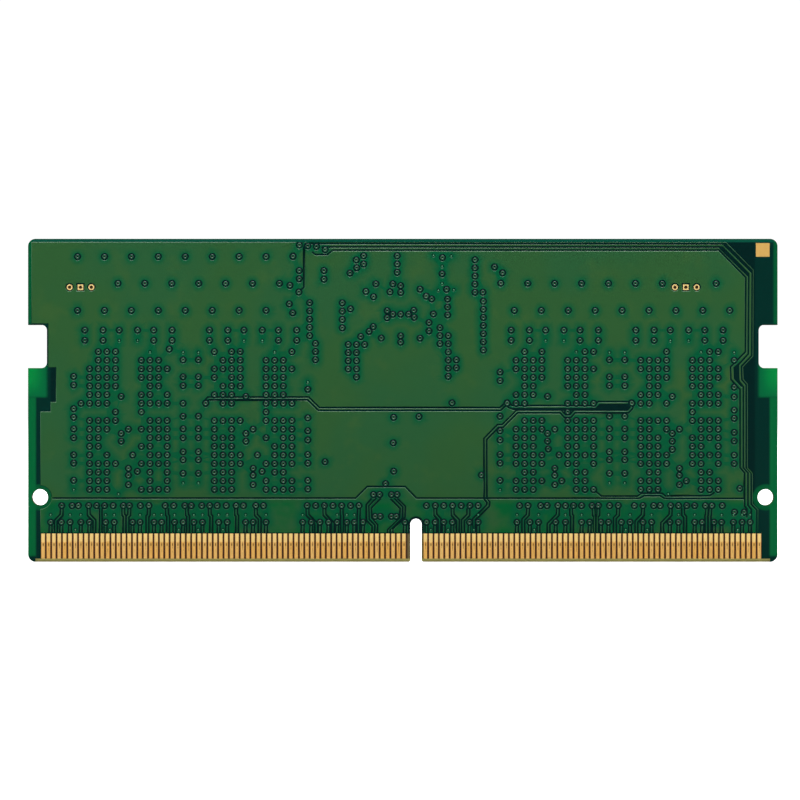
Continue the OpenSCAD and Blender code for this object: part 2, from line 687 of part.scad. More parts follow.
module memory_die(i)
    color("slategray") block([package_x[i], package_z],
                             [die_w, die_y - substrate_y, die_h], substrate_y);

module memory_substrate(i)
    color("darkolivegreen") block([package_x[i], package_z],
                                  [package_w, substrate_y - ball_y, package_h], ball_y);

module memory_balls(i) {
    color("silver") for (dx = ball_columns) for (row = [0 : ball_rows - 1])
        translate([package_x[i] + dx, face_y,
                   package_z + (row - (ball_rows - 1) / 2) * ball_pitch])
            rotate([-90, 0, 0]) cylinder(h = ball_y - face_y, d = ball_d);
}

module memory_cap_1() memory_cap(0);
module memory_cap_2() memory_cap(1);
module memory_cap_3() memory_cap(2);
module memory_cap_4() memory_cap(3);
module memory_die_1() memory_die(0);
module memory_die_2() memory_die(1);
module memory_die_3() memory_die(2);
module memory_die_4() memory_die(3);
module memory_substrate_1() memory_substrate(0);
module memory_substrate_2() memory_substrate(1);
module memory_substrate_3() memory_substrate(2);
module memory_substrate_4() memory_substrate(3);
module memory_balls_1() memory_balls(0);
module memory_balls_2() memory_balls(1);
module memory_balls_3() memory_balls(2);
module memory_balls_4() memory_balls(3);

// ---- Power parts and passives ----

// Leads along both upright sides of a flat package
module side_leads(at, size, count, pitch, lead) {
    for (side = [-1, 1]) for (i = [0 : count - 1])
        block([at[0] + side * (size[0] - lead[2]) / 2, at[1] + (i - (count - 1) / 2) * pitch],
              [lead[2], lead[1] + chip_lift, lead[0]], face_y);
}

module power_chip_leads_shape() {
    side_leads(power_chip, power_chip_size, power_leads[1], power_lead_pitch, power_lead);
    for (side = [-1, 1]) for (i = [0 : power_leads[0] - 1])
        block([power_chip[0] + (i - (power_leads[0] - 1) / 2) * power_lead_pitch,
               power_chip[1] + side * (power_chip_size[2] - power_lead[2]) / 2],
              [power_lead[0], power_lead[1] + chip_lift, power_lead[2]], face_y);
    block(power_chip, [power_slug[0], power_die_y - face_y, power_slug[1]], face_y);
}

module power_chip_body() {
    color("dimgray") difference() {
        block(power_chip, power_chip_size, face_y + chip_lift);
        power_chip_leads_shape();
        block(power_chip, power_die_size, power_die_y);
    }
}

module power_chip_die() color("slategray") block(power_chip, power_die_size, power_die_y);
module power_chip_leads() color("silver") power_chip_leads_shape();

module hub_chip_body() {
    color("dimgray") difference() {
        block(hub_chip, hub_size, face_y + chip_lift);
        side_leads(hub_chip, hub_size, hub_leads, hub_lead_pitch, hub_lead);
    }
}

module hub_chip_leads()
    color("silver") side_leads(hub_chip, hub_size, hub_leads, hub_lead_pitch, hub_lead);

module coil_shape(at) {
    translate([at[0], face_y + (coil_size[1] - coil_h) / 2, at[1]]) rotate([-90, 0, 0])
        rotate_extrude() translate([coil_bore_r, 0]) square([coil_r - coil_bore_r, coil_h]);
}

module inductor_cores() {
    color("dimgray") for (at = coil_parts) difference() {
        block(at, [coil_size[0] - 2 * solder_t, coil_size[1] - solder_t, coil_size[2]],
              face_y + solder_t);
        coil_shape(at);
        inductor_end_pair(at);
    }
}

module inductor_coils() color("peru") for (at = coil_parts) coil_shape(at);

module inductor_end_pair(at) {
    for (side = [-1, 1])
        block([at[0] + side * (coil_size[0] - coil_end) / 2, at[1]],
              [coil_end, coil_end_t, coil_end_h], face_y);
}

module inductor_ends() color("silver") for (at = coil_parts) inductor_end_pair(at);

// A chip part's middle, and its ends, lying along X or turned upright
module chip_middle(part, size, y, t) {
    translate([part[0], 0, part[1]]) rotate([0, -part[2], 0])
        block([0, 0], [size[0] * (1 - 2 * end_share), t, size[2]], y);
}

module chip_ends(part, size, t) {
    for (side = [-1, 1]) translate([part[0], 0, part[1]]) rotate([0, -part[2], 0])
        block([side * size[0] * (1 - end_share) / 2, 0],
              [size[0] * end_share, t, size[2]], face_y + solder_t);
}

module chip_fillets(part, size) {
    for (side = [0, 180]) translate([part[0], face_y, part[1]]) rotate([0, side - part[2], 0])
        translate([size[0] / 2, 0, -size[2] / 2]) linear_extrude(size[2])
            polygon([[0, 0], [fillet_w, 0], [0, fillet_h]]);
}

module capacitor_bodies()
    color("tan") for (c = small_caps) chip_middle(c, chip_0402, face_y + solder_t, chip_0402[1]);
module capacitor_ends() color("silver") for (c = small_caps) chip_ends(c, chip_0402, chip_0402[1]);
module bulk_capacitor_bodies()
    color("tan") for (c = bulk_caps) chip_middle(c, chip_0603, face_y + solder_t, chip_0603[1]);
module bulk_capacitor_ends()
    color("silver") for (c = bulk_caps) chip_ends(c, chip_0603, chip_0603[1]);
module resistor_bodies()
    color("white") for (r = resistors)
        chip_middle(r, chip_0402, face_y + solder_t, resistor_t - solder_t);
module resistor_films()
    color("black") for (r = resistors) chip_middle(r, chip_0402, face_y + resistor_t, solder_t);
module resistor_ends() color("silver") for (r = resistors) chip_ends(r, chip_0402, resistor_t);

module solder_fillets() {
    color("lightgray") {
        for (part = concat(small_caps, resistors)) chip_fillets(part, chip_0402);
        for (part = bulk_caps) chip_fillets(part, chip_0603);
    }
}

laminate_core();
prepreg_inner_back();
prepreg_middle_back();
prepreg_outer_back();
prepreg_inner_front();
prepreg_middle_front();
prepreg_outer_front();
power_plane_back();
signal_plane_back();
ground_plane_back();
back_copper();
power_plane_front();
signal_plane_front();
ground_plane_front();
front_copper();
solder_mask_back();
solder_mask_front();
back_tented_vias();
back_small_vias();
front_tented_vias();
back_contacts();
front_contacts();
back_test_pads();
corner_pad();
memory_cap_1();
memory_cap_2();
memory_cap_3();
memory_cap_4();
memory_die_1();
memory_die_2();
memory_die_3();
memory_die_4();
memory_substrate_1();
memory_substrate_2();
memory_substrate_3();
memory_substrate_4();
memory_balls_1();
memory_balls_2();
memory_balls_3();
memory_balls_4();
power_chip_body();
power_chip_die();
power_chip_leads();
hub_chip_body();
hub_chip_leads();
inductor_cores();
inductor_coils();
inductor_ends();
capacitor_bodies();
capacitor_ends();
bulk_capacitor_bodies();
bulk_capacitor_ends();
resistor_bodies();
resistor_films();
resistor_ends();
solder_fillets();
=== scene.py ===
import json
import math

import bmesh
import bpy
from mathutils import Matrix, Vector, kdtree


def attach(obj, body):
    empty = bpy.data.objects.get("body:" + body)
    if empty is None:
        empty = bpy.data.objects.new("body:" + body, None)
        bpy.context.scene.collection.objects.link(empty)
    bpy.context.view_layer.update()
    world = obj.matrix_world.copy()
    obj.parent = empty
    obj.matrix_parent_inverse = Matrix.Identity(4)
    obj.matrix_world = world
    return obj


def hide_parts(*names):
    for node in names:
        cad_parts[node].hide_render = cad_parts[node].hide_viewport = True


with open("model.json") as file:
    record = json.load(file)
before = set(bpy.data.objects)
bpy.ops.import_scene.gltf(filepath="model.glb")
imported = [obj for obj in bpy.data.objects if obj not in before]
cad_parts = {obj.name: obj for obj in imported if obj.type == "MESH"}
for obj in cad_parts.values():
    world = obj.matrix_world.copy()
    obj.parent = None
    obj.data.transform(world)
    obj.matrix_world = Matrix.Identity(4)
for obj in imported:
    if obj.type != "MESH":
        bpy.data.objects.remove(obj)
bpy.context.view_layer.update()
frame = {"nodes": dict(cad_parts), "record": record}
cadNodes = frame["nodes"]
mm = 0.001  # every size below is written in millimetres and multiplied by this
backFace, frontFace = -1, 1  # the sign of Y on each face of the board
print("frame loaded:", len(cadNodes), "nodes")

board = {
    "face": 0.6,  # from the middle plane to the raised mask
    "film": 0.575,  # and to the mask over bare laminate
    "flush": 0.555,
    "bevel": 0.3,
    "holeX": 33.7,
    "holeZ": 6.0,
}

# ---------- camera, floor and lights

stage = {
    "frameWidth": 74.28,
    "centre": (-0.26, 15.03),
    "lens": 200,
    "sensor": 36,
    "floorSize": 40000,
    "floorColour": (0.9, 0.9, 0.9),
    "flagColour": (0.03, 0.03, 0.03),  # the floor as shiny faces reflect it
    "worldColour": (1.0, 1.0, 1.0),
    "skyStrength": 1.05,
    "fillStrength": 0.045,
    "fadeStart": 0.03,  # metres from the part where the floor begins to turn white
    "fadeEnd": 0.25,
    "paperShare": 0.75,  # how white the floor already is beside the part
    "lights": [  # name, place, width and height, watts
        ("topFront", (0, -0.9, 1.5), (1.6, 0.8), 26),
        ("topBack", (0, 0.9, 1.5), (1.6, 0.8), 26),
        ("leftFront", (-1.5, -0.8, 0.6), (0.6, 1.0), 3),
        ("rightFront", (1.5, -0.8, 0.6), (0.6, 1.0), 3),
        ("leftBack", (-1.5, 0.8, 0.6), (0.6, 1.0), 3),
        ("rightBack", (1.5, 0.8, 0.6), (0.6, 1.0), 3),
    ],
}


def makeCamera():
    data = bpy.data.cameras.new("camera")
    data.lens, data.sensor_width = stage["lens"], stage["sensor"]
    data.clip_start, data.clip_end = 0.01, 50
    camera = bpy.data.objects.new("camera", data)
    distance = stage["frameWidth"] * stage["lens"] / stage["sensor"]
    x, z = stage["centre"]
    camera.location = Vector((x, -board["face"] - distance, z)) * mm
    camera.rotation_euler = (math.pi / 2, 0, 0)
    bpy.context.collection.objects.link(camera)
    bpy.context.scene.camera = camera


# ---------- shader toolkit


def fromScreen(r, g, b):  # a colour as a screen shows it, 0 to 255, to linear light
    return tuple((c / 255 / 12.92) if c <= 10 else ((c / 255 + 0.055) / 1.055) ** 2.4
                 for c in (r, g, b)) + (1.0,)


class Wire:  # a node's output that can be used in a sum
    def __init__(self, graph, socket):
        self.graph, self.socket = graph, socket

    def __add__(self, other):
        return self.graph.sum("ADD", self, other)

    def __sub__(self, other):
        return self.graph.sum("SUBTRACT", self, other)

    def __rsub__(self, other):
        return self.graph.sum("SUBTRACT", other, self)

    def __mul__(self, other):
        return self.graph.sum("MULTIPLY", self, other)

    def __truediv__(self, other):
        return self.graph.sum("DIVIDE", self, other)

    __radd__ = __add__
    __rmul__ = __mul__


class Graph:  # one material's nodes
    def __init__(self, name):
        self.material = bpy.data.materials.new(name)
        self.material.use_nodes = True
        self.tree = self.material.node_tree
        self.tree.nodes.clear()
        self.shader = self.tree.nodes.new("ShaderNodeBsdfPrincipled")
        end = self.tree.nodes.new("ShaderNodeOutputMaterial")
        self.tree.links.new(self.shader.outputs[0], end.inputs[0])

    def put(self, socket, value):
        if isinstance(value, Wire):
            self.tree.links.new(value.socket, socket)
        else:
            socket.default_value = value

    def node(self, kind, settings, inputs, output=0):
        made = self.tree.nodes.new(kind)
        for key, value in settings.items():
            if key == "stops":
                ramp = made.color_ramp
                while len(ramp.elements) < len(value):
                    ramp.elements.new(0.5)
                for element, (position, colour) in zip(ramp.elements, value):
                    element.position, element.color = position, colour
            else:
                setattr(made, key, value)
        for key, value in inputs.items():
            self.put(made.inputs[key], value)
        return Wire(self, made.outputs[output])

    def sum(self, operation, first, second):
        return self.node("ShaderNodeMath", {"operation": operation}, {0: first, 1: second})

    def clamp(self, value):
        return self.node("ShaderNodeClamp", {}, {0: value})

    def greatest(self, first, second):
        return self.sum("MAXIMUM", first, second)

    def place(self):  # Object coordinates in millimetres
        here = self.node("ShaderNodeTexCoord", {}, {}, "Object")
        parts = self.tree.nodes.new("ShaderNodeSeparateXYZ")
        self.put(parts.inputs[0], here)
        return here, [Wire(self, parts.outputs[i]) / mm for i in range(3)]

    def step(self, value, low, high):  # 0 below low, 1 above high, smooth between
        return self.node("ShaderNodeMapRange", {"interpolation_type": "SMOOTHSTEP"},
                         {0: value, 1: low, 2: high})

    def band(self, value, low, high, soft):
        above = self.step(value, low - soft, low + soft)
        return above * (1 - self.step(value, high - soft, high + soft))

    def mix(self, factor, low, high):
        return self.node("ShaderNodeMix", {"data_type": "RGBA"}, {0: factor, 6: low, 7: high}, 2)

    def noise(self, here, scale, detail=3, roughness=0.5):
        return self.node("ShaderNodeTexNoise", {},
                         {"Vector": here, "Scale": scale, "Detail": detail, "Roughness": roughness})

    def attribute(self, name):
        return self.node("ShaderNodeAttribute", {"attribute_name": name}, {}, "Fac")

    def bump(self, height, strength, distance):
        return self.node("ShaderNodeBump", {}, {"Height": height, "Strength": strength,
                                                "Distance": distance})

    def finish(self, **inputs):
        for key, value in inputs.items():
            self.put(self.shader.inputs[key.replace("_", " ")], value)
        return self.material


def softLight(name, place, size, power):
    data = bpy.data.lights.new(name, "AREA")
    data.shape, data.size, data.size_y = "RECTANGLE", size[0], size[1]
    data.energy = power
    light = bpy.data.objects.new(name, data)
    light.location = place
    aim = Vector((0, 0, 0.015)) - light.location
    light.rotation_euler = aim.to_track_quat("-Z", "Y").to_euler()
    bpy.context.collection.objects.link(light)


def floorMaterial():  # pale paper that fades to white away from the part, as a studio sweep does
    g = Graph("paleFloor")
    here, (x, y, z) = g.place()
    away = g.sum("POWER", (x * x + y * y), 0.5) * mm
    path = g.tree.nodes.new("ShaderNodeLightPath")
    seen = Wire(g, path.outputs["Is Camera Ray"])
    mirrored = Wire(g, path.outputs["Is Glossy Ray"])
    fade = g.step(away, stage["fadeStart"], stage["fadeEnd"])
    white = (fade * (1 - stage["paperShare"]) + stage["paperShare"]) * seen
    grain = g.noise(here, 900, 2)
    paper = g.mix(grain, (*stage["floorColour"], 1), (0.92, 0.92, 0.92, 1))
    return g.finish(Base_Color=g.mix(mirrored, paper, (*stage["flagColour"], 1)),
                    Roughness=0.9, Specular_IOR_Level=0.1, Emission_Strength=1.0,
                    Emission_Color=g.mix(white, (0, 0, 0, 1), (*stage["worldColour"], 1)))


def makeStage():
    bpy.ops.mesh.primitive_plane_add(size=stage["floorSize"] * mm)
    floor = bpy.context.object
    floor.name = "floor"
    floor.data.materials.append(floorMaterial())

    world = bpy.data.worlds.new("studio")
    bpy.context.scene.world = world
    world.use_nodes = True
    tree = world.node_tree
    background = tree.nodes["Background"]
    background.inputs["Color"].default_value = (*stage["worldColour"], 1)
    lightPath = tree.nodes.new("ShaderNodeLightPath")
    strength = tree.nodes.new("ShaderNodeMapRange")
    strength.inputs["To Min"].default_value = stage["fillStrength"]
    strength.inputs["To Max"].default_value = stage["skyStrength"]
    tree.links.new(lightPath.outputs["Is Camera Ray"], strength.inputs["Value"])
    tree.links.new(strength.outputs["Result"], background.inputs["Strength"])

    for light in stage["lights"]:
        softLight(*light)
    bpy.context.scene.view_settings.view_transform = "Standard"


# ---------- materials

maskLook = {
    "pour": fromScreen(45, 90, 48),
    "pourWarm": fromScreen(60, 94, 46),
    "pourCool": fromScreen(40, 90, 52),
    "halo": fromScreen(0, 87, 53),
    "escape": fromScreen(0, 92, 46),
    "gap": fromScreen(0, 34, 32),
    "bare": fromScreen(0, 44, 38),
    # painted glow colours for the bare mask near the side notches
    "bright": fromScreen(0, 132, 60),
    "glow": fromScreen(0, 98, 56),
    "edgeGreen": fromScreen(0, 84, 46),
    # shoulder is the painted highlight colour for slopes that face up
    "shoulder": fromScreen(92, 140, 104),
    "strip": fromScreen(0, 98, 52),
    "topBand": fromScreen(4, 78, 60),
    "pad": fromScreen(46, 106, 70),
    "padGreen": fromScreen(8, 84, 52),
    # dimple is painted shade: the near black middle over each via's hole
    "dimple": fromScreen(0, 12, 12),
    # pin is painted highlight: the pale middle of each small filled hole
    "pin": fromScreen(96, 176, 130),
    "roughness": 0.18,
    "viaRoughness": 0.16,
}
maskZones = {  # where the bare strip at the ends and the pour change colour, and where the painted glow near the side notches lies
    "escapeTop": (5.2, 6.1),
    "brightHeights": (15.3, 18.3),
    "brightAcross": (32.85, 33.25),
    "shineAcross": (33.0, 34.6),
    "shineHeights": (14.8, 17.4),
    "stripAcross": (33.95, 34.2),
    "stripBottom": (0.4, 0.7),
    "stripTop": (15.1, 15.5),
    "rimAcross": (34.3, 34.55),
    "rimBottom": (21.8, 22.4),
    "holeRim": (1.1, 1.3),
    "bareAcross": (32.6, 32.8),
    "topBand": (29.62, 29.74),
}


def maskMaterial(name, side):
    g = Graph(name)
    here, (x, y, z) = g.place()
    across = g.sum("ABSOLUTE", x, 0)

    def zone(value, name):
        return g.step(value, *maskZones[name])

    raised = g.step(y * side, board["film"] + 0.001, board["film"] + 0.007)
    mottle = g.noise(here, 320, 3, 0.55)
    patches = g.noise(here, 110, 2)
    pour = g.mix(g.step(patches, 0.42, 0.62), maskLook["pourCool"], maskLook["pour"])
    pour = g.mix(g.step(mottle, 0.55, 0.75) * 0.4, pour, maskLook["pourWarm"])
    escape = (1 - zone(z, "escapeTop")) * g.step(mottle, 0.3, 0.6)
    pour = g.mix(escape, pour, maskLook["escape"])
    pour = g.mix(g.attribute("halo"), pour, maskLook["halo"])
    # painted glow of light: the bare mask near the side notches is painted lighter green, brightest
    # close to the edge
    glow = g.band(z, *maskZones["brightHeights"], 0.15) * zone(across, "brightAcross")
    strip = zone(across, "stripAcross") * (1 - zone(z, "stripTop")) * zone(z, "stripBottom")
    rim = zone(across, "rimAcross") * zone(z, "rimBottom")
    holeAway = g.sum("POWER", (across - board["holeX"]) * (across - board["holeX"])
                     + (z - board["holeZ"]) * (z - board["holeZ"]), 0.5)
    rim = g.greatest(rim, 1 - zone(holeAway, "holeRim"))
    bare = g.mix(zone(across, "bareAcross"), maskLook["gap"], maskLook["bare"])
    bare = g.mix(zone(z, "topBand"), bare, maskLook["topBand"])
    bare = g.mix(rim, bare, maskLook["edgeGreen"])
    bare = g.mix(strip, bare, maskLook["strip"])
    paintedGlowColour = g.mix(zone(across, "shineAcross") * zone(z, "shineHeights"),
                  maskLook["glow"], maskLook["bright"])
    bare = g.mix(glow, bare, paintedGlowColour)
    halo, lit = g.attribute("halo"), g.attribute("lit")
    # painted shade: slopes that do not face up are darkened towards the gap colour
    shaded = g.attribute("shoulder") * (1.3 - halo * 0.5) - lit * 2.5
    pour = g.mix(g.clamp(shaded), pour, maskLook["gap"])
    # painted highlight: slopes that face up take the pale shoulder colour
    pour = g.mix(g.clamp(lit * 1.5) * (1 - halo * 0.85), pour, maskLook["shoulder"])
    colour = g.mix(raised, bare, pour)
    relief = g.noise(here, 2600, 2)
    return g.finish(Base_Color=colour, Roughness=maskLook["roughness"],
                    Normal=g.bump(relief, 0.08, 0.00001), Specular_IOR_Level=0.32)


def viaMaterial(name, pin):  # pin is True for the small filled holes
    g = Graph(name)
    here, _ = g.place()
    radius = g.attribute("radius")
    tint = g.noise(here, 900, 2)
    pad = g.mix(g.step(tint, 0.35, 0.65), maskLook["pad"], maskLook["padGreen"])
    if pin:
        # painted highlight: the middle of each small filled hole is painted pale green
        colour = g.mix(g.step(radius, 0.06, 0.14), maskLook["pin"], maskLook["padGreen"])
    else:
        colour = g.mix(g.step(radius, 0.165, 0.2), pad, maskLook["gap"])
        # painted shade: the middle over the via's hole is painted near black
        colour = g.mix(1 - g.step(radius, 0.08, 0.13), colour, maskLook["dimple"])
    cup = g.step(radius, 0.03, 0.13)
    return g.finish(Base_Color=colour, Roughness=maskLook["viaRoughness"], Specular_IOR_Level=0.6,
                    Normal=g.bump(cup, 0.6, 0.00005))


goldLook = {
    "upper": fromScreen(255, 218, 134),
    "lower": fromScreen(250, 194, 98),
    "wiped": fromScreen(140, 78, 14),
    "pale": fromScreen(255, 216, 140),
    # painted shade on the sides of each contact
    "flank": fromScreen(214, 136, 44),
    "pitch": 0.5,
    "firstBack": -33.4,
    "firstFront": -33.15,
}


def contactPhase(g, x, firstX):  # which contact, and how far across its pitch, -0.5 to 0.5
    along = (x - firstX) / goldLook["pitch"] + 0.5
    index = g.sum("FLOOR", along, 0)
    return index, along - index - 0.5


def contactMaterial(name, firstX):
    g = Graph(name)
    here, (x, y, z) = g.place()
    index, phase = contactPhase(g, x, firstX)
    off = g.sum("ABSOLUTE", phase, 0)
    chance = g.node("ShaderNodeTexWhiteNoise", {"noise_dimensions": "1D"}, {"W": index})
    other = g.node("ShaderNodeTexWhiteNoise", {"noise_dimensions": "1D"}, {"W": index + 400})
    streak = g.noise(here, 3500, 2)
    touched = 1 - g.step(z, 1.8 + other * 0.06, 1.86 + other * 0.06)
    body = g.mix(touched, goldLook["upper"], goldLook["lower"])
    body = g.mix(chance * 0.5, body, goldLook["pale"])
    # painted shade: both sides of each contact are painted darker orange, more on the worn lower
    # part
    body = g.mix(g.step(off, 0.2, 0.34) * (0.35 + touched * 0.45), body, goldLook["flank"])
    aside = g.sum("ABSOLUTE", phase - 0.03, 0)
    line = (1 - g.step(aside, 0.03, 0.1)) * g.step(z, 0.5, 1.4) * g.step(streak, 0.35, 0.6)
    spot = (1 - g.step(aside, 0.07, 0.17)) * g.band(z, 1.48, 1.74, 0.07)
    wipe = touched * g.greatest(spot * 0.9, line * (0.2 + other * 0.6))
    body = g.mix(wipe, body, goldLook["wiped"])
    return g.finish(Base_Color=body, Roughness=0.34, Metallic=0.1,
                    Normal=g.bump(streak, 0.1, 0.00002))


testPads = {
    "groups": (-29.93, 26.28),
    "step": 1.01,
    "height": 25.5,
}


def goldMaterial(pads):  # pads is the middle of each round or square test pad
    g = Graph("padGold")
    here, (x, y, z) = g.place()
    grain = g.noise(here, 4000, 2)
    colour = g.mix(grain, fromScreen(222, 172, 88), fromScreen(230, 184, 102))
    colour = g.mix(1 - g.step(z, 27, 27.2), colour, fromScreen(248, 214, 138))
    for pad in pads:
        # painted shade: a dark disc is painted round the hole of each test pad
        away = g.sum("POWER", (x - pad[0]) * (x - pad[0]) + (z - pad[1]) * (z - pad[1]), 0.5)
        colour = g.mix(1 - g.step(away, 0.13, 0.18), colour, fromScreen(26, 18, 6))
    return g.finish(Base_Color=colour, Roughness=0.35, Metallic=0.15,
                    Normal=g.bump(grain, 0.1, 0.00001))


def laminateMaterial():
    g = Graph("laminate")
    here, (x, y, z) = g.place()
    weave = g.noise(here, 1800, 3)
    depth, across = g.sum("ABSOLUTE", y, 0), g.sum("ABSOLUTE", x, 0)
    bevelled = 1 - g.step(z, board["bevel"] - 0.02, board["bevel"] + 0.03)
    window = g.step(depth, board["flush"] - 0.012, board["flush"] - 0.004) * (1 - bevelled)
    # near marks the laminate between the contacts, where painted shadow goes
    near = (1 - g.step(across, 33.5, 33.8)) * (1 - g.band(x, 0.44, 1.96, 0.06))
    pale = g.mix(weave, fromScreen(170, 162, 90), fromScreen(186, 180, 108))
    plies = g.node("ShaderNodeTexWave", {"bands_direction": "Y"},
                   {"Vector": here, "Scale": 2400, "Distortion": 6.0, "Detail": 2,
                    "Detail Scale": 0.4})
    cut = g.mix(plies * 0.6 + weave * 0.3, fromScreen(94, 96, 48), fromScreen(142, 136, 82))
    pale = g.mix(bevelled, cut, pale)
    # painted shadow: the laminate between the contacts is painted dark brown
    gap = g.mix(near, fromScreen(108, 94, 50), fromScreen(66, 30, 2))
    gap = g.mix(g.step(z, 3.5, 4.0), gap, fromScreen(6, 26, 20))
    return g.finish(Base_Color=g.mix(window, pale, gap), Roughness=0.6,
                    Normal=g.bump(weave, 0.2, 0.00002))


plainLook = {  # by slot: name, two colours, size of the grain, roughness, metal
    "copper": ("copperFoil", (184, 112, 72), (200, 130, 88), 900, 0.35, 1.0),
    "mould_compound": ("mouldCompound", (38, 38, 40), (52, 52, 54), 9000, 0.5, 0.0),
    "silicon": ("silicon", (92, 96, 104), (104, 108, 116), 500, 0.2, 0.4),
    "package_substrate": ("packageSubstrate", (34, 74, 40), (44, 86, 48), 900, 0.5, 0.0),
    "solder": ("solder", (206, 206, 208), (222, 222, 224), 1500, 0.3, 0.5),
    "tinned_ends": ("tinnedEnds", (206, 204, 200), (222, 220, 216), 2500, 0.38, 0.35),
    "ferrite": ("ferrite", (66, 66, 68), (88, 88, 90), 2500, 0.6, 0.0),
    "capacitor_ceramic": ("capacitorCeramic", (158, 122, 86), (176, 140, 104), 1800, 0.4, 0.0),
    "alumina": ("alumina", (226, 226, 220), (238, 238, 232), 1800, 0.6, 0.0),
    "resistor_glaze": ("resistorGlaze", (16, 16, 17), (24, 24, 25), 1500, 0.25, 0.0),
}


def plainMaterial(name, first, second, scale, roughness, metallic):
    g = Graph(name)
    here, _ = g.place()
    grain = g.noise(here, scale, 4, 0.6)
    colour = g.mix(g.step(grain, 0.3, 0.7), fromScreen(*first), fromScreen(*second))
    return g.finish(Base_Color=colour, Roughness=roughness, Metallic=metallic,
                    Normal=g.bump(grain, 0.1, 0.00002))


# ---------- mesh helpers


def copyOfNode(name):
    bm = bmesh.new()
    bm.from_mesh(cadNodes[name].data)
    bmesh.ops.remove_doubles(bm, verts=bm.verts, dist=0.0002 * mm)
    return bm


def loosePlaces(name):  # the middle of each separate solid in a node, in the plane of the board
    bm = copyOfNode(name)
    seen, places = set(), []
    for start in bm.verts:
        if start.index in seen:
            continue
        seen.add(start.index)
        island, front = [], [start]
        while front:
            vert = front.pop()
            island.append(vert.co)
            for edge in vert.link_edges:
                other = edge.other_vert(vert)
                if other.index not in seen:
                    seen.add(other.index)
                    front.append(other)
        xs, zs = [p.x for p in island], [p.z for p in island]
        places.append(Vector(((min(xs) + max(xs)) / 2, 0, (min(zs) + max(zs)) / 2)))
    bm.free()
    return places


def addPiece(name, bm, material, slotName, *replaced):
    mesh = bpy.data.meshes.new(name)
    bm.to_mesh(mesh)
    bm.free()
    mesh.materials.append(material)
    piece = bpy.data.objects.new(name, mesh)
    bpy.context.collection.objects.link(piece)
    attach(piece, "root")
    if replaced:
        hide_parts(*replaced)
    print("piece:", name, len(mesh.polygons), "faces")
    return piece


# ---------- solder mask with its relief

relief = {
    "shoulder": 0.045,  # width of the slope around the raised mask
    "drop": 0.019,  # and how far it falls
    "longest": 0.8,  # longest edge that carries the colour around vias
    "passes": 6,
    "haloReach": 0.85,
}


def onTop(face, side):
    height = face.verts[0].co.y * side
    return face.normal.y * side > 0.9 and abs(height - board["face"] * mm) < 0.001 * mm


def slopeShoulders(bm, side):  # turns the rim of the raised mask into a rounded slope
    shoulder = bm.verts.layers.float.new("shoulder")
    lit = bm.verts.layers.float.new("lit")  # 1 where the slope faces up; the finish paints highlight there and shade on the other slopes
    top = [face for face in bm.faces if onTop(face, side)]
    ring = bmesh.ops.inset_region(bm, faces=top, thickness=relief["shoulder"] * mm,
                                  use_boundary=True, use_even_offset=True)["faces"]
    inner = {vert for face in top for vert in face.verts}
    rim = {vert for face in ring for vert in face.verts} - inner
    for vert in rim:
        facing = 0.0
        for edge in vert.link_edges:
            other = edge.other_vert(vert)
            if other in inner:
                way = vert.co - other.co
                facing = max(facing, way.z / max(way.length, 1e-9))
        vert[shoulder], vert[lit] = 1.0, facing
    for vert in rim:
        vert.co.y -= relief["drop"] * mm * side
        for face in vert.link_faces:
            face.smooth = True
    for face in bm.faces:
        if abs(face.normal.y) > 0.99:
            face.smooth = False


def refineTop(bm, side):  # adds points to the large flat areas, to carry the colour
    for _ in range(relief["passes"]):
        top = [face for face in bm.faces if onTop(face, side)]
        edges = {e for face in top for e in face.edges if e.calc_length() > relief["longest"] * mm}
        if not edges:
            return
        bmesh.ops.subdivide_edges(bm, edges=list(edges), cuts=1)
        bmesh.ops.triangulate(bm, faces=[f for f in bm.faces if len(f.verts) > 4])


def paintHalo(bm, places):
    tree = kdtree.KDTree(len(places))
    for i, place in enumerate(places):
        tree.insert(place, i)
    tree.balance()
    layer = bm.verts.layers.float.new("halo")
    reach = relief["haloReach"] * mm
    for vert in bm.verts:
        near = tree.find_range(Vector((vert.co.x, 0, vert.co.z)), reach)
        weight = sum(1 - distance / reach for _, _, distance in near)
        vert[layer] = min(1.0, weight * 1.55)


def makeMask(name, node, side, places):
    bm = copyOfNode(node)
    bm.normal_update()
    slopeShoulders(bm, side)
    refineTop(bm, side)
    paintHalo(bm, places)
    addPiece(name, bm, maskMaterial(name + "Finish", side), "solder_mask", node)


# ---------- tented vias

via = {
    "segments": 12,
    "profile": [(0.22, 0.574), (0.19, 0.594), (0.16, 0.599),  # radius, distance from mid plane
                (0.125, 0.597), (0.07, 0.579), (0.0, 0.577)],
    "smallScale": 0.5,
}


def viaTemplate(side, scale):
    bm = bmesh.new()
    layer = bm.verts.layers.float.new("radius")
    line = [bm.verts.new((r * scale * mm, y * side * mm, 0)) for r, y in via["profile"]]
    for vert, (r, _) in zip(line, via["profile"]):
        vert[layer] = r
    edges = [bm.edges.new(pair) for pair in zip(line, line[1:])]
    bmesh.ops.spin(bm, geom=line + edges, cent=(0, 0, 0), axis=(0, 1, 0), angle=2 * math.pi,
                   steps=via["segments"], use_merge=True)
    bmesh.ops.remove_doubles(bm, verts=bm.verts, dist=0.0005 * mm)
    bmesh.ops.recalc_face_normals(bm, faces=bm.faces)
    outward = sum(f.normal.y for f in bm.faces) * side
    if outward < 0:
        bmesh.ops.reverse_faces(bm, faces=bm.faces)
    for face in bm.faces:
        face.smooth = True
    mesh = bpy.data.meshes.new("viaTemplate")
    bm.to_mesh(mesh)
    bm.free()
    return mesh


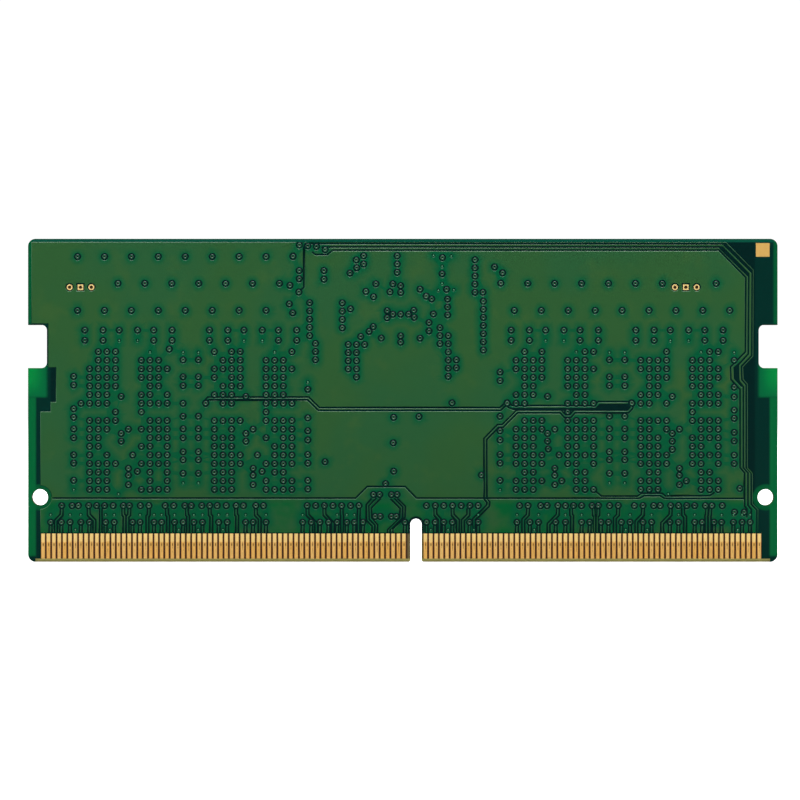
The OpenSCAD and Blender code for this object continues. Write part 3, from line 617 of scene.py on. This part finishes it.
def makeVias(name, node, side, scale, material):
    template = viaTemplate(side, scale)
    bm = bmesh.new()
    places = loosePlaces(node)
    for place in places:
        start = len(bm.verts)
        bm.from_mesh(template)
        bm.verts.ensure_lookup_table()
        bmesh.ops.translate(bm, verts=bm.verts[start:], vec=place)
    addPiece(name, bm, material, "solder_mask", node)
    return places


# ---------- contacts

contact = {
    "soft": 0.018,  # radius of the plated edges
    "steps": 2,
}


def makeContacts(name, node, firstX):
    bm = copyOfNode(node)
    bmesh.ops.dissolve_limit(bm, angle_limit=0.02, verts=bm.verts, edges=bm.edges)
    bm.normal_update()
    sharp = [edge for edge in bm.edges if edge.is_manifold and edge.calc_face_angle() > 0.6
             and max(abs(v.co.y) for v in edge.verts) > (board["flush"] + 0.01) * mm]
    bmesh.ops.bevel(bm, geom=sharp, offset=contact["soft"] * mm, segments=contact["steps"],
                    affect="EDGES", profile=0.5, material=-1, clamp_overlap=True)
    for face in bm.faces:
        face.smooth = True
    addPiece(name, bm, contactMaterial(name + "Finish", firstX), "gold", node)


# ---------- parts of the component side, with the edges that moulding and plating leave round

softEdges = {
    "power_chip_body": 0.04,
    "hub_chip_body": 0.04,
    "inductor_cores": 0.07,
    "inductor_ends": 0.03,
    "capacitor_bodies": 0.02,
    "capacitor_ends": 0.04,
    "bulk_capacitor_bodies": 0.03,
    "bulk_capacitor_ends": 0.06,
    "resistor_bodies": 0.01,
    "resistor_ends": 0.03,
}
for number in range(1, 5):
    softEdges[f"memory_cap_{number}"] = 0.07
    softEdges[f"memory_substrate_{number}"] = 0.02


def softenNode(node, radius, material, slotName):
    bm = copyOfNode(node)
    bmesh.ops.dissolve_limit(bm, angle_limit=0.02, verts=bm.verts, edges=bm.edges)
    bm.normal_update()
    sharp = [edge for edge in bm.edges if edge.is_manifold and edge.calc_face_angle() > 0.6]
    bmesh.ops.bevel(bm, geom=sharp, offset=radius * mm, segments=2, affect="EDGES",
                    profile=0.5, material=-1, clamp_overlap=True)
    words = node.split("_")
    addPiece("soft" + "".join(word.capitalize() for word in words), bm, material, slotName, node)


# ---------- build

makeCamera()
makeStage()
print("stage ready")

viaFinish = viaMaterial("tentedVia", False)
backPlaces = makeVias("backVias", "back_tented_vias", backFace, 1.0, viaFinish)
smallPlaces = makeVias("backSmallVias", "back_small_vias", backFace, via["smallScale"],
                       viaMaterial("filledPin", True))
frontPlaces = makeVias("frontVias", "front_tented_vias", frontFace, 1.0, viaFinish)
makeMask("backMask", "solder_mask_back", backFace, backPlaces + smallPlaces)
makeMask("frontMask", "solder_mask_front", frontFace, frontPlaces)
makeContacts("backGold", "back_contacts", goldLook["firstBack"])
makeContacts("frontGold", "front_contacts", goldLook["firstFront"])

finishes = {slotName: plainMaterial(*look) for slotName, look in plainLook.items()}
finishes["laminate"] = laminateMaterial()
finishes["gold"] = goldMaterial([(first + testPads["step"] * i, testPads["height"])
                                 for first in testPads["groups"] for i in range(-1, 2)])
finishes["solder_mask"] = bpy.data.materials["backMaskFinish"]
slots = {entry["node"]: entry["material_slot"] for entry in frame["record"]["subparts"]}
for nodeName, radius in softEdges.items():
    softenNode(nodeName, radius, finishes[slots[nodeName]], slots[nodeName])
for nodeName, part in cadNodes.items():
    part.data.materials.clear()
    part.data.materials.append(finishes[slots[nodeName]])
print("finishes applied")
